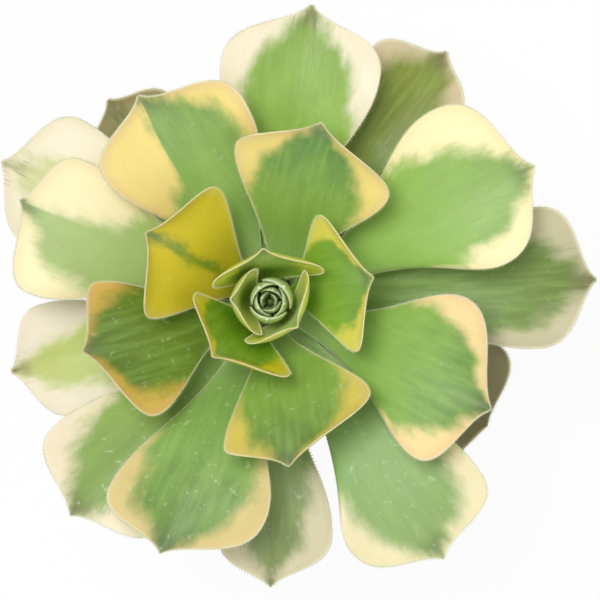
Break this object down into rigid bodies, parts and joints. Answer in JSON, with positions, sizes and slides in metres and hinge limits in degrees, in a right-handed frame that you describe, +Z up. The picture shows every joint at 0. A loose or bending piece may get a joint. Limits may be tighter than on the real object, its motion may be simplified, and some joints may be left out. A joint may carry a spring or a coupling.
{
  "type": "potted aeonium",
  "caption": "Succulent plant with one broad rosette of fleshy cream-edged green leaves on a short woody stem, in a small plain round clay pot.",
  "frame": {"origin": "centre of the pot's flat base, on the surface that the pot stands on", "axes": "+Z up along the pot and the stem, +X towards the longest leaf, which lies a few degrees round from it, +Y a quarter turn counter-clockwise seen from above"},
  "size_m": [0.151, 0.1473, 0.1345],
  "materials": {
    "terracotta": "matte",
    "potting_mix": "matte",
    "bark": "matte",
    "leaf": "satin",
    "young_leaf": "satin"
  },
  "bodies": {
    "root": {"pot": "terracotta", "potting_mix": "potting_mix", "stem": "bark", "leaf_01": "leaf", "leaf_02": "leaf", "leaf_03": "leaf", "leaf_04": "leaf", "leaf_05": "leaf", "leaf_06": "leaf", "leaf_07": "leaf", "leaf_08": "leaf", "leaf_09": "leaf", "leaf_10": "leaf", "leaf_11": "leaf", "leaf_12": "leaf", "leaf_13": "leaf", "leaf_14": "leaf", "leaf_15": "leaf", "leaf_16": "leaf", "leaf_17": "leaf", "leaf_18": "leaf", "leaf_19": "leaf", "leaf_20": "leaf", "leaf_21": "leaf", "leaf_22": "leaf", "leaf_23": "leaf", "leaf_24": "leaf", "bud_leaf_1": "young_leaf", "bud_leaf_2": "young_leaf", "bud_leaf_3": "young_leaf", "bud_leaf_4": "young_leaf", "bud_leaf_5": "young_leaf", "bud_leaf_6": "young_leaf", "bud_leaf_7": "young_leaf", "bud_leaf_8": "young_leaf", "bud_leaf_9": "young_leaf"}
  },
  "joints": []
}
